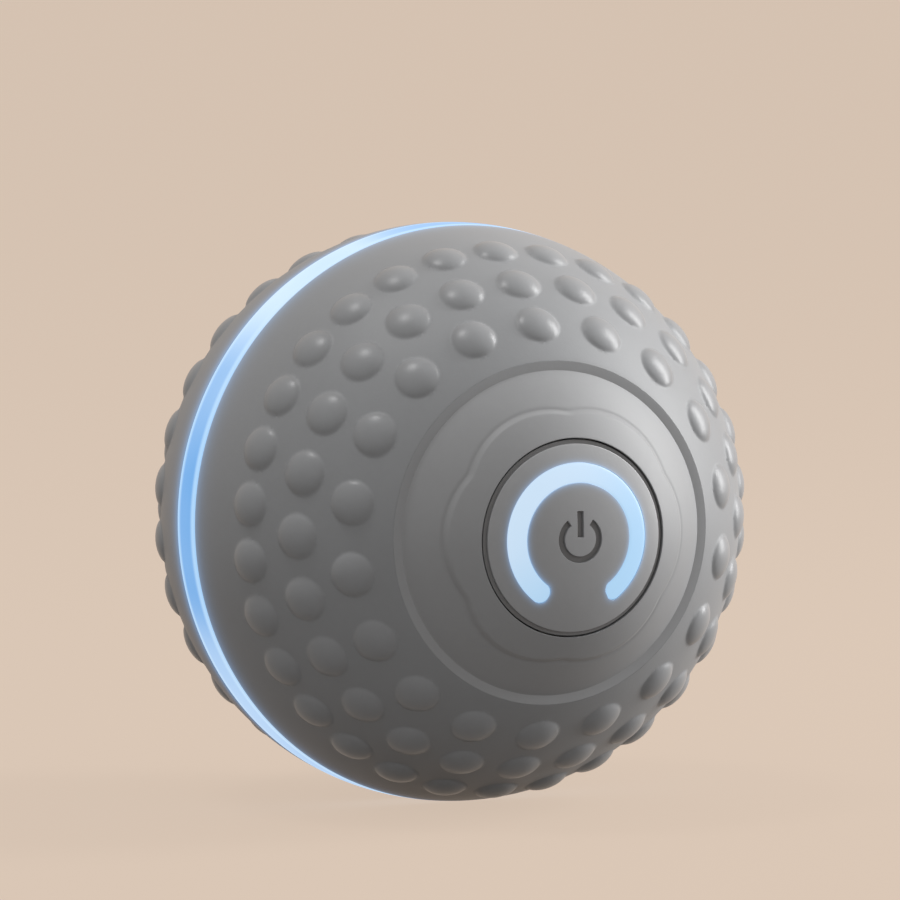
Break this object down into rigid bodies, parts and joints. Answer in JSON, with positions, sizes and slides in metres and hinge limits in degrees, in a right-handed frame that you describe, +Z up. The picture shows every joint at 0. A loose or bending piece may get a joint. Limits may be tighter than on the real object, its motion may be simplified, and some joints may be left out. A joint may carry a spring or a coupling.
{
  "type": "interactive dog ball",
  "caption": "Rolling pet ball with bumpy rubber covers, a glowing ring round the middle and a push button at one pole, driven by a hidden geared pendulum carriage.",
  "frame": {"origin": "centre of the ball, which is the middle of its bounding box", "axes": "+Z up, +Y along the rolling axis from the button to the charging end, so the button faces -Y"},
  "size_m": [0.075, 0.0788, 0.075],
  "materials": {
    "rubber": "matte",
    "cap_plastic": "matte",
    "light": "satin",
    "hard_shell": "satin",
    "frame_plastic": "satin",
    "bush_plastic": "satin",
    "gear_plastic": "satin",
    "soft_plug": "matte",
    "screw_steel": "satin",
    "motor_steel": "satin",
    "weight_steel": "satin",
    "brass": "satin",
    "switch_plastic": "satin",
    "board": "satin",
    "lamp": "gloss",
    "battery_wrap": "satin"
  },
  "bodies": {
    "shell": {"front_cover": "rubber", "rear_cover": "rubber", "light_ring": "light", "front_shell": "hard_shell", "rear_shell": "hard_shell", "shell_screws": "screw_steel", "front_pole_cap": "cap_plastic", "rear_pole_cap": "cap_plastic", "front_bush": "bush_plastic", "rear_bush": "bush_plastic", "ring_gear": "gear_plastic"},
    "carriage": {"front_hub": "frame_plastic", "rear_hub": "frame_plastic", "switch_body": "switch_plastic", "lamp_board": "board", "button_lamps": "lamp", "charging_cover": "cap_plastic", "usb_socket": "screw_steel", "charge_board": "board", "chassis": "frame_plastic", "gearbox_cover": "frame_plastic", "gear_axles": "screw_steel", "chassis_screws": "screw_steel", "motor_can": "motor_steel", "motor_end_cap": "switch_plastic", "battery": "battery_wrap", "counterweight": "weight_steel", "main_board": "board", "ring_lamps": "lamp"},
    "rotor": {"motor_shaft": "screw_steel", "motor_pinion": "brass"},
    "first_gear": {"first_gear": "gear_plastic"},
    "second_gear": {"second_gear": "gear_plastic"},
    "button": {"power_button": "cap_plastic", "button_light_guide": "light", "switch_plunger": "switch_plastic"},
    "plug": {"port_plug": "soft_plug"}
  },
  "joints": [
    {"name": "shell_roll", "type": "hinge", "parent": "shell", "child": "carriage", "pos_m": [0, 0, 0], "axis": [0, -1, 0], "continuous": true},
    {"name": "second_gear_spin", "type": "hinge", "parent": "carriage", "child": "second_gear", "pos_m": [-0.01593, 0, -0.0092], "axis": [0, -1, 0], "continuous": true},
    {"name": "first_gear_spin", "type": "hinge", "parent": "carriage", "child": "first_gear", "pos_m": [-0.00596, 0, -0.00412], "axis": [0, -1, 0], "continuous": true},
    {"name": "motor_spin", "type": "hinge", "parent": "carriage", "child": "rotor", "pos_m": [0.00507, 0, -0.00217], "axis": [0, -1, 0], "continuous": true},
    {"name": "button_press", "type": "slide", "parent": "carriage", "child": "button", "axis": [0, 1, 0], "range_m": [0, 0.0006], "stiffness_N_per_m": 1500, "springref_m": -0.001},
    {"name": "plug_pull", "type": "slide", "parent": "carriage", "child": "plug", "axis": [0, 1, 0], "range_m": [0, 0.012]}
  ],
  "couplings": [
    {"joint": "second_gear_spin", "follows": "shell_roll", "ratio": -4.2857},
    {"joint": "first_gear_spin", "follows": "shell_roll", "ratio": 12.857},
    {"joint": "motor_spin", "follows": "shell_roll", "ratio": -38.571}
  ]
}
